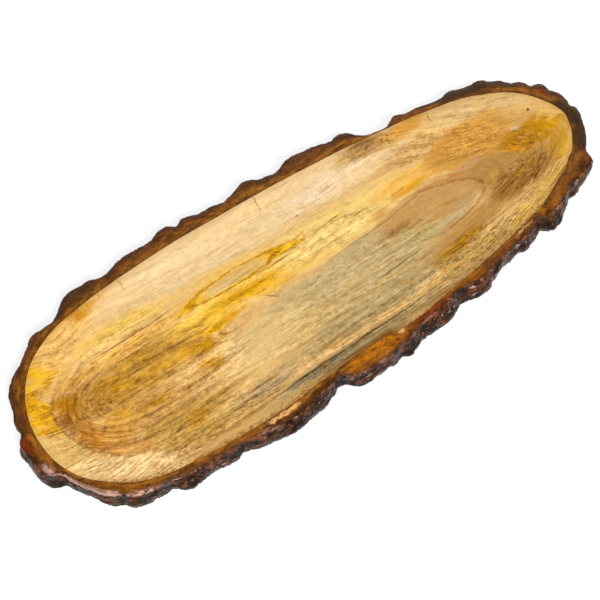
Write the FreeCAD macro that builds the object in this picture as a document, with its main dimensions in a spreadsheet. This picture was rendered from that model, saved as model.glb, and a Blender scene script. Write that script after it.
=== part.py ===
import FreeCAD, Part
import Sketcher
import math
import os

# A long serving platter carved from one slab of wood, with the tree's bark left on all round.
# Millimetres, +Z up. The origin is on the flat underside, below the middle of the dish.
# +X points at the narrow end, and the slab lies along X.

# Name, value, what it is.
SIZES = [
    ("dish_length", 485, "length of the dish at its upper edge"),
    ("dish_width", 164, "width of the dish at its upper edge"),
    ("broad_end_taper", 7, "how much less than half the width the broad end's radius is"),
    ("narrow_end_taper", 26, "how much less than half the width the narrow end's radius is"),
    ("slab_thickness", 26, "underside to the top of the slab"),
    ("dish_depth", 11, "top of the slab down to the dish's floor"),
    ("wall_run", 21, "how far the dish's sloping wall runs inwards, seen from above"),
    ("cove_radius", 30, "soft bend between the wall and the floor"),
    ("edge_ease", 1.2, "rounding of the dish's upper edge"),
    ("bark_reach", 10, "usual distance from the dish's edge out to the side of the bark"),
    ("brow_drop", 1.2, "top of the slab down to the outer edge of the bark's cut top"),
    ("shoulder_drop", 5.5, "top of the slab down to where the bark's side begins"),
    ("toe_height", 4.5, "height where the bark's side turns in to the underside"),
    ("toe_tuck", 3, "how far the bark is tucked in at the toe"),
    ("underside_tuck", 8, "how far the bark is tucked in at the underside"),
    ("plate_relief", 1.4, "how far the bark's plates stand proud, or its furrows lie deep"),
]

# The bark's outline, counter-clockwise from the tip of the narrow end. Each point has how many
# thousandths of the way round the dish's edge it is, how far the side of the bark stands out
# there, and how far its cut top reaches, both as shares of bark_reach.
BARK_LINE = [
    # narrow end to the far side
    (0, 1.18, 1.18), (3, 1.36, 1.36), (11, 1.45, 1.45), (15, 1.30, 1.30), (22, 1.55, 1.55),
    (27, 1.00, 1.00), (33, 1.10, 1.10), (41, 0.77, 0.77), (46, 0.95, 0.95), (52, 0.95, 0.95),
    (58, 1.23, 1.23), (66, 1.05, 1.05), (75, 1.05, 1.05), (83, 1.14, 1.14), (91, 0.86, 0.86),
    (99, 0.77, 0.77), (112, 0.80, 0.80), (121, 0.71, 0.71), (130, 0.90, 0.90),
    # where the bark has come off
    (134, 0.60, 0.60), (138, 0.26, 0.26), (149, 0.18, 0.18), (156, 0.26, 0.26),
    # far side
    (161, 0.60, 0.60), (167, 1.20, 1.20), (172, 1.38, 1.38), (181, 1.16, 1.16),
    (190, 1.36, 1.36), (201, 1.45, 1.45), (212, 1.48, 1.48), (218, 1.36, 1.36),
    (223, 1.05, 1.05), (228, 0.85, 0.85), (235, 0.97, 0.97), (241, 1.10, 1.10),
    (245, 1.36, 1.36), (250, 1.52, 1.52), (257, 1.30, 1.30), (263, 1.03, 1.03),
    (270, 0.86, 0.86), (280, 1.05, 1.05), (292, 1.11, 1.11), (297, 1.30, 1.30),
    (302, 1.44, 1.44), (308, 1.16, 1.16), (312, 1.53, 1.53), (318, 1.63, 1.63),
    (329, 1.26, 1.26), (343, 1.40, 1.40), (356, 1.34, 1.34), (362, 1.08, 1.08),
    (371, 1.07, 1.07), (377, 1.42, 1.42), (383, 1.51, 1.51), (398, 1.45, 1.45),
    (402, 1.20, 1.20), (407, 0.76, 0.76), (412, 0.56, 0.56), (419, 0.73, 0.73),
    # broad end
    (427, 1.06, 1.06), (436, 0.88, 0.88), (446, 0.88, 0.88), (453, 1.16, 1.16),
    (465, 1.29, 1.29), (475, 1.03, 1.03), (483, 1.13, 1.13), (489, 0.95, 0.95),
    (494, 1.50, 1.30), (503, 1.50, 1.25), (513, 1.62, 1.35), (519, 1.45, 1.20),
    (524, 0.88, 0.80), (532, 0.75, 0.70), (542, 0.84, 0.76), (555, 1.17, 0.92),
    (560, 0.98, 0.85), (565, 1.16, 0.92), (572, 1.02, 0.80), (580, 0.77, 0.60),
    (588, 0.60, 0.45), (594, 0.90, 0.50),
    # near side
    (601, 0.97, 0.55), (613, 0.78, 0.45), (626, 0.86, 0.50), (637, 0.70, 0.45),
    (647, 0.87, 0.55), (659, 1.20, 0.80), (668, 1.28, 0.86), (678, 1.22, 0.88),
    (686, 1.06, 0.65), (697, 0.93, 0.38), (704, 0.60, 0.30), (714, 0.40, 0.26),
    (720, 0.97, 0.80), (727, 1.22, 1.00), (733, 1.19, 1.00), (748, 1.50, 1.10),
    (757, 1.20, 0.90), (762, 1.47, 1.00), (771, 1.27, 0.70), (785, 1.27, 0.55),
    (799, 1.27, 0.60), (811, 1.00, 0.42), (819, 1.18, 0.50), (829, 1.38, 0.84),
    (836, 1.35, 0.90), (843, 1.16, 0.85), (859, 1.04, 0.75), (868, 0.86, 0.65),
    (874, 1.13, 0.76), (886, 1.15, 0.72), (895, 1.05, 0.40), (900, 1.53, 0.72),
    (906, 1.61, 1.00), (918, 1.37, 0.88), (929, 1.02, 0.75),
    # back to the narrow end
    (939, 0.95, 0.72), (948, 1.15, 0.95), (957, 1.35, 1.28), (962, 0.76, 0.74),
    (968, 0.78, 0.78), (976, 0.92, 0.92), (985, 1.14, 1.14), (991, 1.36, 1.36),
    (996, 1.43, 1.43),
]
TURN = 1000

# The bark's plates and furrows at three levels of its side. Each has where its middle is, in
# thousandths of the way round, and how far it stands out, as a share of plate_relief.
PLATES = {
    "shoulder": [
        (8, 0.5), (24, -0.7), (38, 0.4), (60, -0.3), (78, 0.6), (96, -0.8), (118, 0.3),
        (141, -0.2), (160, 0.1), (176, 0.7), (194, -0.6), (214, 0.4), (233, -0.9), (252, 0.5),
        (268, -0.4), (290, 0.6), (309, -0.8), (326, 0.3), (348, -0.5), (366, 0.6), (384, -0.3),
        (404, 0.5), (420, -0.8), (440, 0.4), (458, -0.5), (476, 0.6), (492, -0.7), (508, 0.5),
        (526, -1.0), (541, 0.3), (559, -0.4), (577, 0.5), (592, -0.9), (612, 0.4), (630, -0.6),
        (650, 0.3), (668, -1.0), (684, 0.5), (702, -0.4), (716, -1.0), (736, 0.5), (752, -0.3),
        (772, -0.9), (790, 0.5), (812, -1.0), (826, 0.4), (842, 0.6), (860, -0.5), (878, 0.3),
        (896, -1.0), (912, 0.5), (930, -0.9), (946, 0.4), (960, -1.0), (978, 0.5), (992, -0.4),
    ],
    "belly": [
        (3, -0.5), (18, 0.6), (33, -0.8), (50, 0.5), (70, -0.6), (88, 0.4), (106, -0.3),
        (128, 0.6), (146, -0.4), (168, 0.5), (186, -0.8), (206, 0.4), (222, -0.5), (242, 0.7),
        (262, -0.6), (280, 0.3), (299, -0.7), (318, 0.5), (337, -0.4), (357, 0.6), (375, -0.8),
        (394, 0.5), (412, -0.5), (430, 0.4), (449, -0.7), (467, 0.5), (484, -0.4), (500, 0.1),
        (517, -0.6), (534, 0.3), (550, -0.8), (568, 0.5), (585, -0.5), (603, 0.6), (621, -0.7),
        (640, 0.5), (660, -0.5), (676, 0.4), (693, -0.8), (711, -0.6), (727, 0.6), (744, -0.9),
        (762, 0.5), (779, -0.8), (797, 0.5), (817, -0.9), (833, 0.5), (851, -0.7), (869, 0.5),
        (887, -0.6), (904, 0.6), (921, -0.8), (938, 0.4), (957, -1.0), (971, 0.5), (987, -0.5),
    ],
    "toe": [
        (10, 0.4), (28, -0.6), (46, 0.5), (66, -0.4), (90, 0.5), (112, -0.5), (134, 0.4),
        (156, -0.3), (178, 0.5), (200, -0.7), (220, 0.5), (240, -0.4), (258, 0.4), (278, -0.6),
        (300, 0.5), (322, -0.5), (345, 0.5), (364, -0.6), (386, 0.4), (408, -0.5), (428, 0.5),
        (446, -0.4), (466, 0.4), (486, -0.4), (506, 0.2), (540, 0.0), (930, 0.0), (952, -0.5),
        (970, 0.4), (988, -0.4),
    ],
}

TOP = "sizes.slab_thickness"
FLOOR = "sizes.slab_thickness - sizes.dish_depth"
SHOULDER = "sizes.slab_thickness - sizes.shoulder_drop"

# Each level of the slab, underside first: the height, the shares that it takes of the bark's
# side and of its cut top, how far it is tucked in, and how far its ridges have wandered round,
# in thousandths of the way round.
LEVELS = [
    ("underside", "0", 0.80, 0, "underside_tuck", 4),
    ("toe", "sizes.toe_height", 0.95, 0, "toe_tuck", 2),
    ("belly", f"(sizes.toe_height + {SHOULDER}) / 2", 1, 0, None, 0),
    ("shoulder", SHOULDER, 0.45, 0.55, None, 0),
    ("brow", "sizes.slab_thickness - sizes.brow_drop", 0, 1, None, 0),
    ("top", TOP, 0, 0.90, None, 0),
]


def fill_sheet(doc):
    """Puts every driving size in one sheet, with its name as its alias."""
    sheet = doc.addObject("Spreadsheet::Sheet", "sizes")
    for row, (name, value, meaning) in enumerate(SIZES, start=1):
        sheet.set(f"A{row}", meaning)
        sheet.set(f"B{row}", str(value))
        sheet.setAlias(f"B{row}", name)
    doc.recompute()
    return sheet


def sketch_at(body, name, height):
    """A sketch parallel to the underside, at a height given as an expression."""
    plane = next(f for f in body.Origin.OriginFeatures if f.Role == "XY_Plane")
    sketch = body.newObject("Sketcher::SketchObject", name)
    sketch.AttachmentSupport = [(plane, "")]
    sketch.MapMode = "FlatFace"
    sketch.setExpression("AttachmentOffset.Base.z", f"({height}) * 1 mm")
    return sketch


def arc(centre_x, centre_y, radius, start, end):
    circle = Part.Circle(FreeCAD.Vector(centre_x, centre_y), FreeCAD.Vector(0, 0, 1), radius)
    return Part.ArcOfCircle(circle, start, end)


def oval_sketch(body, sheet, name, height, inset=None):
    """An egg-shaped oval of four arcs that run into each other: the dish's edge, or inside it.

    The arcs are the narrow end, the far side, the broad end and the near side. Its length,
    width and end radii come from the sheet, and tangency gives the sides their radius. The
    arcs are drawn near enough first, and the constraints then settle them exactly.
    """
    sketch = sketch_at(body, name, height)
    half = sheet.dish_width / 2 - (sheet.get(inset) if inset else 0)
    narrow, broad = half - sheet.narrow_end_taper, half - sheet.broad_end_taper
    narrow_x = (sheet.dish_length - sheet.dish_width) / 2 + sheet.narrow_end_taper
    broad_x = -(sheet.dish_length - sheet.dish_width) / 2 - sheet.broad_end_taper
    slack = math.sqrt(sheet.narrow_end_taper) + math.sqrt(sheet.broad_end_taper)
    side = ((narrow_x - broad_x) / slack) ** 2 / 2
    side_x = broad_x + (narrow_x - broad_x) * math.sqrt(sheet.broad_end_taper) / slack
    side_y = side - half
    lean_narrow = math.atan2(side_y, narrow_x - side_x)
    lean_broad = math.atan2(side_y, broad_x - side_x)
    full = 2 * math.pi
    sketch.addGeometry([
        arc(narrow_x, 0, narrow, -lean_narrow, lean_narrow),
        arc(side_x, -side_y, side, lean_narrow, lean_broad),
        arc(broad_x, 0, broad, lean_broad, full - lean_broad),
        arc(side_x, side_y, side, full - lean_broad, full - lean_narrow),
    ])
    apex = sketch.addGeometry(Part.Point(FreeCAD.Vector(side_x, half)), True)
    narrow_end, far_side, broad_end, near_side = range(4)
    start, end, centre, point = 1, 2, 3, 1
    origin, x_axis = -1, -1

    def tie(*what):
        return sketch.addConstraint(Sketcher.Constraint(*what))

    tie("Tangent", narrow_end, end, far_side, start)
    tie("Tangent", far_side, end, broad_end, start)
    tie("Tangent", broad_end, end, near_side, start)
    tie("Tangent", near_side, end, narrow_end, start)
    tie("PointOnObject", narrow_end, centre, x_axis)
    tie("PointOnObject", broad_end, centre, x_axis)
    tie("Equal", far_side, near_side)
    tie("PointOnObject", apex, point, far_side)
    tie("Vertical", apex, point, far_side, centre)

    reach = f"sizes.dish_width / 2 - sizes.{inset}" if inset else "sizes.dish_width / 2"
    spread = "(sizes.dish_length - sizes.dish_width) / 2"
    for row, size in (
        (tie("Radius", narrow_end, narrow), f"{reach} - sizes.narrow_end_taper"),
        (tie("Radius", broad_end, broad), f"{reach} - sizes.broad_end_taper"),
        (tie("DistanceX", origin, point, narrow_end, centre, narrow_x),
         f"{spread} + sizes.narrow_end_taper"),
        (tie("DistanceX", broad_end, centre, origin, point, -broad_x),
         f"{spread} + sizes.broad_end_taper"),
        (tie("DistanceY", origin, point, apex, point, half), reach),
    ):
        sketch.setExpression(f"Constraints[{row}]", f"({size}) * 1 mm")
    return sketch


def stand_on(oval, way):
    """The point a share of the way round an oval from its narrow tip, and the way outwards."""
    arcs = oval.Geometry[:4]
    lengths = [each.length() for each in arcs]
    distance = (way * sum(lengths) + lengths[0] / 2) % sum(lengths)
    for each, length in zip(arcs, lengths):
        if distance <= length or each is arcs[-1]:
            break
        distance -= length
    point = each.value(each.FirstParameter + distance / each.Radius)
    return point, (point - each.Center).normalize()


def plate_at(rows, station):
    """How far the bark's plates stand out at a station, eased from one place to the next."""
    rows = [(rows[-1][0] - TURN, rows[-1][1]), *rows, (rows[0][0] + TURN, rows[0][1])]
    for (start, low), (end, high) in zip(rows, rows[1:]):
        if start <= station < end:
            way = (station - start) / (end - start)
            return low + (high - low) * way * way * (3 - 2 * way)


def bark_sketch(body, sheet, rim, name, height, side_share, top_share, tuck, wander):
    """One level of the slab: a smooth closed curve through the places where the bark stands."""
    sketch = sketch_at(body, name, height)
    less = sheet.get(tuck) if tuck else 0
    plates = PLATES.get(name, [(0, 0)])
    points = []
    for station, side, top in BARK_LINE:
        point, outwards = stand_on(rim, (station + wander) / TURN)
        reach = (side_share * side + top_share * top) * sheet.bark_reach
        proud = plate_at(plates, station) * sheet.plate_relief
        points.append(point + outwards * (reach + proud - less))
    curve = Part.BSplineCurve()
    stations = [station for station, side, top in BARK_LINE] + [TURN]
    curve.interpolate(Points=points, PeriodicFlag=True, Parameters=stations)
    sketch.addGeometry(curve)
    return sketch


def edges_at(shape, height, near):
    """Names of the edges that lie wholly at a height and start on the given outline."""
    level = 1e-6
    return [
        f"Edge{number}"
        for number, edge in enumerate(shape.Edges, start=1)
        if abs(edge.BoundBox.ZMin - height) < level
        and abs(edge.BoundBox.ZMax - height) < level
        and near.distToShape(edge.Vertexes[0])[0] < level
    ]


def loft(body, kind, name, sketches):
    """Straight-sided skin from one sketch to the next."""
    feature = body.newObject(f"PartDesign::{kind}Loft", name)
    feature.Profile = sketches[0]
    feature.Sections = sketches[1:]
    feature.Ruled = True
    for sketch in sketches:
        sketch.Visibility = False
    return feature


def round_off(doc, body, name, outline, size):
    """Rounds the edges of the dish that lie on one of its ovals."""
    before = body.Tip
    doc.recompute()
    feature = body.newObject("PartDesign::Fillet", name)
    height = outline.Placement.Base.z
    feature.Base = (before, edges_at(before.Shape, height, outline.Shape))
    feature.setExpression("Radius", f"sizes.{size} * 1 mm")
    body.Tip = feature
    return feature


def make_platter(doc, sheet):
    """The whole slab with its bark, less the dish, with the dish's two bends rounded."""
    body = doc.addObject("PartDesign::Body", "platter")
    body.Label = "platter"
    rim = oval_sketch(body, sheet, "dish_rim", TOP)
    floor = oval_sketch(body, sheet, "dish_floor", FLOOR, "wall_run")
    doc.recompute()
    levels = [bark_sketch(body, sheet, rim, *level) for level in LEVELS]
    loft(body, "Additive", "slab_and_bark", levels)
    loft(body, "Subtractive", "dish", [rim, floor])
    round_off(doc, body, "dish_cove", floor, "cove_radius")
    round_off(doc, body, "dish_edge", rim, "edge_ease")
    doc.recompute()
    return body


def check(doc, bodies):
    """Stops if any feature failed or any piece isn't one sound solid."""
    for each in doc.Objects:
        if {"Invalid", "Error"} & set(each.State):
            raise RuntimeError(f"{each.Name} failed: {each.State}")
    for body in bodies:
        if body.Shape.isNull() or not body.Shape.isValid() or len(body.Shape.Solids) != 1:
            raise RuntimeError(f"{body.Label} isn't one sound solid")


def main():
    doc = FreeCAD.newDocument("live_edge_platter")
    sheet = fill_sheet(doc)
    bodies = [make_platter(doc, sheet)]
    check(doc, bodies)
    os.makedirs("parts", exist_ok=True)
    for body in bodies:
        body.Shape.exportStep(f"parts/{body.Label}.step")


main()
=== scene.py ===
import functools
import math

import bpy
import numpy as np
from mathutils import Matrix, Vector


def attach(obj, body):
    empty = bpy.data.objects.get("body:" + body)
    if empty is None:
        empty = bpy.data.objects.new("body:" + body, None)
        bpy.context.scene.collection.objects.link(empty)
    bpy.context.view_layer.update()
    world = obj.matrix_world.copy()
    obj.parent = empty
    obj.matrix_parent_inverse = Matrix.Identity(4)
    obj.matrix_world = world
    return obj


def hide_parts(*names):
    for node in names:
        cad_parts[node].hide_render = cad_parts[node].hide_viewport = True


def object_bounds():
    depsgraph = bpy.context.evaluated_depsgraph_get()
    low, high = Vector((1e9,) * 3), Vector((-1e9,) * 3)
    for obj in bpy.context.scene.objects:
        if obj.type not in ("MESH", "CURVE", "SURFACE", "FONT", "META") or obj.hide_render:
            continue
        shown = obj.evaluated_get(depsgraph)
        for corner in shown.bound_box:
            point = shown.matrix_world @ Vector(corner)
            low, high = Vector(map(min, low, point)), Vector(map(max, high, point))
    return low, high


# A long serving platter, carved from one slab of pale hardwood with the bark left on all round.
# Lengths in this script are millimetres until a mesh is made, and +X points at the narrow end.
# A place round the slab is counted in thousandths of the way, counter-clockwise from the narrow tip.
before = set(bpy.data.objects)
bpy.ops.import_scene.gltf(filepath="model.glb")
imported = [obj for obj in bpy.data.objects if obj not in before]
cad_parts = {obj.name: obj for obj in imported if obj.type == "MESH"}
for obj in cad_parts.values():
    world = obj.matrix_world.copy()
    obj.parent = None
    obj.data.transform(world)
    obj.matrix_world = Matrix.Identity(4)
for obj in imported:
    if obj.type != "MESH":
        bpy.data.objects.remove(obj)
cad_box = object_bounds()

# The driving sizes of the part's source: the slab's top and the dish's floor, the dish at its
# upper edge, how much less than half its width the ends' radii are, its wall and the bark.
TOP, FLOOR = 26.0, 15.0
LENGTH, WIDTH = 485.0, 164.0
BROAD_TAPER, NARROW_TAPER = 7.0, 26.0
WALL_RUN = 21.0
REACH = 10.0

# Where the photograph was taken from.
EYE = (-283.1, -350.7, 748.1)

# The bark's outline, as in the part's source: the place round the slab, then how far the side
# and the cut top stand out from the egg, as shares of REACH.
BARK_LINE = [
    (0, 1.18, 1.18), (3, 1.36, 1.36), (11, 1.45, 1.45), (15, 1.3, 1.3), (22, 1.55, 1.55), (27, 1, 1),
    (33, 1.1, 1.1), (41, 0.77, 0.77), (46, 0.95, 0.95), (52, 0.95, 0.95), (58, 1.23, 1.23),
    (66, 1.05, 1.05), (75, 1.05, 1.05), (83, 1.14, 1.14), (91, 0.86, 0.86), (99, 0.77, 0.77),
    (112, 0.8, 0.8), (121, 0.71, 0.71), (130, 0.9, 0.9), (134, 0.6, 0.6), (138, 0.26, 0.26),
    (149, 0.18, 0.18), (156, 0.26, 0.26), (161, 0.6, 0.6), (167, 1.2, 1.2), (172, 1.38, 1.38),
    (181, 1.16, 1.16), (190, 1.36, 1.36), (201, 1.45, 1.45), (212, 1.48, 1.48), (218, 1.36, 1.36),
    (223, 1.05, 1.05), (228, 0.85, 0.85), (235, 0.97, 0.97), (241, 1.1, 1.1), (245, 1.36, 1.36),
    (250, 1.52, 1.52), (257, 1.3, 1.3), (263, 1.03, 1.03), (270, 0.86, 0.86), (280, 1.05, 1.05),
    (292, 1.11, 1.11), (297, 1.3, 1.3), (302, 1.44, 1.44), (308, 1.16, 1.16), (312, 1.53, 1.53),
    (318, 1.63, 1.63), (329, 1.26, 1.26), (343, 1.4, 1.4), (356, 1.34, 1.34), (362, 1.08, 1.08),
    (371, 1.07, 1.07), (377, 1.42, 1.42), (383, 1.51, 1.51), (398, 1.45, 1.45), (402, 1.2, 1.2),
    (407, 0.76, 0.76), (412, 0.56, 0.56), (419, 0.73, 0.73), (427, 1.06, 1.06), (436, 0.88, 0.88),
    (446, 0.88, 0.88), (453, 1.16, 1.16), (465, 1.29, 1.29), (475, 1.03, 1.03), (483, 1.13, 1.13),
    (489, 0.95, 0.95), (494, 1.5, 1.3), (503, 1.5, 1.25), (513, 1.62, 1.35), (519, 1.45, 1.2),
    (524, 0.88, 0.8), (532, 0.75, 0.7), (542, 0.84, 0.76), (555, 1.17, 0.92), (560, 0.98, 0.85),
    (565, 1.16, 0.92), (572, 1.02, 0.8), (580, 0.77, 0.6), (588, 0.6, 0.45), (594, 0.9, 0.5),
    (601, 0.97, 0.55), (613, 0.78, 0.45), (626, 0.86, 0.5), (637, 0.7, 0.45), (647, 0.87, 0.55),
    (659, 1.2, 0.8), (668, 1.28, 0.86), (678, 1.22, 0.88), (686, 1.06, 0.65), (697, 0.93, 0.38),
    (704, 0.6, 0.3), (714, 0.4, 0.26), (720, 0.97, 0.8), (727, 1.22, 1), (733, 1.19, 1),
    (748, 1.5, 1.1), (757, 1.2, 0.9), (762, 1.47, 1), (771, 1.27, 0.7), (785, 1.27, 0.55),
    (799, 1.27, 0.6), (811, 1, 0.42), (819, 1.18, 0.5), (829, 1.38, 0.84), (836, 1.35, 0.9),
    (843, 1.16, 0.85), (859, 1.04, 0.75), (868, 0.86, 0.65), (874, 1.13, 0.76), (886, 1.15, 0.72),
    (895, 1.05, 0.4), (900, 1.53, 0.72), (906, 1.61, 1), (918, 1.37, 0.88), (929, 1.02, 0.75),
    (939, 0.95, 0.72), (948, 1.15, 0.95), (957, 1.35, 1.28), (962, 0.76, 0.74), (968, 0.78, 0.78),
    (976, 0.92, 0.92), (985, 1.14, 1.14), (991, 1.36, 1.36), (996, 1.43, 1.43),
]

# How far the slab's side is drawn in at each height, as in the part's source: height, share of
# the side's reach, share of the cut top's reach, tuck in mm, and wander in thousandths.
BROW = 24.8
SIDE_LEVELS = [
    (BROW, 0.0, 1.0, 0.0, 0), (20.5, 0.45, 0.55, 0.0, 0), (12.5, 1.0, 0.0, 0.0, 0),
    (4.5, 0.95, 0.0, 3.0, 2), (0.0, 0.80, 0.0, 8.0, 4),
]

# The bark's plates and furrows at three heights of its side, as in the part's source: the place
# round the slab, and how far a plate stands out as a share of PLATE_RELIEF.
PLATE_RELIEF = 1.4
PLATES = {
    20.5: [
        (8, 0.5), (24, -0.7), (38, 0.4), (60, -0.3), (78, 0.6), (96, -0.8), (118, 0.3), (141, -0.2),
        (160, 0.1), (176, 0.7), (194, -0.6), (214, 0.4), (233, -0.9), (252, 0.5), (268, -0.4),
        (290, 0.6), (309, -0.8), (326, 0.3), (348, -0.5), (366, 0.6), (384, -0.3), (404, 0.5),
        (420, -0.8), (440, 0.4), (458, -0.5), (476, 0.6), (492, -0.7), (508, 0.5), (526, -1),
        (541, 0.3), (559, -0.4), (577, 0.5), (592, -0.9), (612, 0.4), (630, -0.6), (650, 0.3),
        (668, -1), (684, 0.5), (702, -0.4), (716, -1), (736, 0.5), (752, -0.3), (772, -0.9),
        (790, 0.5), (812, -1), (826, 0.4), (842, 0.6), (860, -0.5), (878, 0.3), (896, -1), (912, 0.5),
        (930, -0.9), (946, 0.4), (960, -1), (978, 0.5), (992, -0.4),
    ],
    12.5: [
        (3, -0.5), (18, 0.6), (33, -0.8), (50, 0.5), (70, -0.6), (88, 0.4), (106, -0.3), (128, 0.6),
        (146, -0.4), (168, 0.5), (186, -0.8), (206, 0.4), (222, -0.5), (242, 0.7), (262, -0.6),
        (280, 0.3), (299, -0.7), (318, 0.5), (337, -0.4), (357, 0.6), (375, -0.8), (394, 0.5),
        (412, -0.5), (430, 0.4), (449, -0.7), (467, 0.5), (484, -0.4), (500, 0.1), (517, -0.6),
        (534, 0.3), (550, -0.8), (568, 0.5), (585, -0.5), (603, 0.6), (621, -0.7), (640, 0.5),
        (660, -0.5), (676, 0.4), (693, -0.8), (711, -0.6), (727, 0.6), (744, -0.9), (762, 0.5),
        (779, -0.8), (797, 0.5), (817, -0.9), (833, 0.5), (851, -0.7), (869, 0.5), (887, -0.6),
        (904, 0.6), (921, -0.8), (938, 0.4), (957, -1), (971, 0.5), (987, -0.5),
    ],
    4.5: [
        (10, 0.4), (28, -0.6), (46, 0.5), (66, -0.4), (90, 0.5), (112, -0.5), (134, 0.4), (156, -0.3),
        (178, 0.5), (200, -0.7), (220, 0.5), (240, -0.4), (258, 0.4), (278, -0.6), (300, 0.5),
        (322, -0.5), (345, 0.5), (364, -0.6), (386, 0.4), (408, -0.5), (428, 0.5), (446, -0.4),
        (466, 0.4), (486, -0.4), (506, 0.2), (540, 0), (930, 0), (952, -0.5), (970, 0.4), (988, -0.4),
    ],
}

# Where the pale wood ends and the bark's cut top begins: the place round the slab, and mm
# outside the egg, or inside it where the bark grew inwards.
WOOD_LINE = [
    (0, 1.5), (18, -1.5), (27, -2.3), (36, -3), (48, -3.8), (62, -3.5), (71, -1.5), (80, -0.3),
    (89, 0.2), (125, 0.3), (140, -0.4), (175, -0.9), (215, -1.5), (275, -1.6), (303, -0.6), (318, 0),
    (383, 0.5), (405, -0.6), (423, -0.5), (449, 1), (498, 1.3), (520, 2), (534, 1.8), (552, 0),
    (569, -0.5), (587, -1), (623, 0), (650, 0), (685, -1.5), (694, -3), (711, -3.2), (716, -4.4),
    (756, -4.6), (762, -1), (783, 0.9), (801, 0.1), (899, 0), (916, -2), (925, -4), (936, -6.6),
    (952, -6.8), (961, -5), (970, -4), (979, -2), (988, 0), (996, 1.8),
]

# The carver's wall: the place round the slab, how far in from the egg it meets the floor, and
# how soft the bend is there, from 0.05 for a clear line to 0.5 for a broad sweep.
WALL_FOOT = [
    (0, 21, 0.35), (60, 21, 0.45), (160, 21, 0.5), (300, 21, 0.5), (420, 21, 0.3), (453, 19.5, 0.14),
    (466, 16.5, 0.1), (480, 14.5, 0.07), (496, 16.3, 0.06), (522, 20.4, 0.08), (551, 23.5, 0.1),
    (575, 25, 0.14), (600, 23, 0.3), (680, 21, 0.45), (800, 20, 0.45), (880, 18.5, 0.3),
    (910, 18, 0.2), (940, 21, 0.16), (965, 23, 0.2),
]

# Pits and notches in the bark: the place round the slab, height, half length along the bark,
# half height, and depth, in mm.
PITS = [
    (668, 22, 3.5, 5, 3.2), (712, 16, 5, 9, 2.6), (776, 15, 4, 8, 2.4), (815, 18, 4.5, 8, 2.8),
    (897, 15, 4, 9, 3), (931, 13, 3, 9, 2.2), (958, 14, 2.6, 9, 2.6), (524, 17, 3, 7, 2.6),
    (588, 14, 4, 8, 2), (638, 12, 5, 6, 1.8), (745, 9, 4, 5, 2.4), (855, 10, 5, 5, 2),
    (90, 12, 6, 6, 2), (240, 13, 5, 8, 2.2), (308, 12, 4, 8, 2), (372, 12, 5, 7, 2.2),
    (330, 8, 6, 4, 1.8), (203, 9, 6, 4, 1.8), (446, 12, 5, 7, 1.8), (28, 13, 3, 8, 2),
    (985, 10, 5, 5, 1.6),
]

# Bark plates of three sizes: length and height in mm, seed, how much one plate stands out more
# than the next, its dome's height, its crack's width in cells, and how dark the crack is, which
# the bark's materials lay on as painted shade.
PLATE_SIZES = [
    (21, 10, 31, 0.5, 0.9, 0.30, 1.0), (8, 5.6, 37, 0.55, 0.8, 0.34, 0.7),
    (3.8, 3.1, 41, 0.15, 0.25, 0.40, 0.25),
]

# The mesh has AROUND columns round the slab, whose bark is about ROUND mm long. Its rings lie at
# these shares of the way from the wood's edge down the wall, from the wood out over the cut top,
# and from the middle of the dish's floor and of the underside.
AROUND = 1440
WAY = np.arange(AROUND) / AROUND
MILLE = WAY * 1000
ROUND = 1150.0
WALL_PARTS = (
    1.0, 0.94, 0.88, 0.82, 0.77, 0.72, 0.66, 0.58, 0.48, 0.38, 0.28, 0.19, 0.12, 0.07, 0.035, 0.012, 0.0,
)
TOP_PARTS = (0.02, 0.07, 0.15, 0.26, 0.38, 0.50, 0.62, 0.73, 0.83, 0.92)
FLOOR_PARTS = (0.2, 0.45, 0.7, 0.88)
UNDER_PARTS = (0.8, 0.5, 0.2)
MIDDLE = np.array([-9.0, 0.0])
WOOD, CUT_BARK, SIDE, UNDERSIDE = range(4)


def smooth_through(at, places, values, period=None, calm=False):
    """Smooth curve through given values. Between two places it is a cubic that leaves and arrives
    with the slope there, which is the mean of the two chords' slopes, each weighted by the other
    chord's length. With a period, the curve closes on itself. A calm curve never swings past its
    values: its slope is at most twice the flatter chord's, and level where the chords turn back."""
    places, values = np.asarray(places, float), np.asarray(values, float)
    if period:
        places = np.concatenate([places[-2:] - period, places, places[:2] + period])
        values = np.concatenate([values[-2:], values, values[:2]])
    step = np.diff(places).reshape((-1,) + (1,) * (values.ndim - 1))
    chord = np.diff(values, axis=0) / step
    inner = (chord[:-1] * step[1:] + chord[1:] * step[:-1]) / (step[:-1] + step[1:])
    if calm:
        flatter = 2 * np.minimum(np.abs(chord[:-1]), np.abs(chord[1:]))
        inner = np.where(chord[:-1] * chord[1:] > 0, np.clip(inner, -flatter, flatter), 0.0)
    slope = np.concatenate([chord[:1], inner, chord[-1:]])
    cell = np.clip(np.searchsorted(places, at, "right") - 1, 0, len(places) - 2)
    length = step[cell]
    t = ((at - places[cell]) / step.reshape(-1)[cell]).reshape(length.shape)
    return (
        (1 + 2 * t) * (1 - t) ** 2 * values[cell]
        + t * (1 - t) ** 2 * length * slope[cell]
        + t ** 2 * (3 - 2 * t) * values[cell + 1]
        + t ** 2 * (t - 1) * length * slope[cell + 1]
    )


def table(at, rows, column, calm=False):
    """One column of a table of places round the slab, carried on smoothly between its places."""
    rows = np.asarray(rows, float)
    return smooth_through(np.mod(at, 1000.0), rows[:, 0], rows[:, column], 1000.0, calm)


def ease(low, high, value):
    """Smooth step: 0 at low, 1 at high, and between them 3t² - 2t³ of the way t."""
    t = np.clip((value - low) / (high - low), 0, 1)
    return t * t * (3 - 2 * t)


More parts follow.
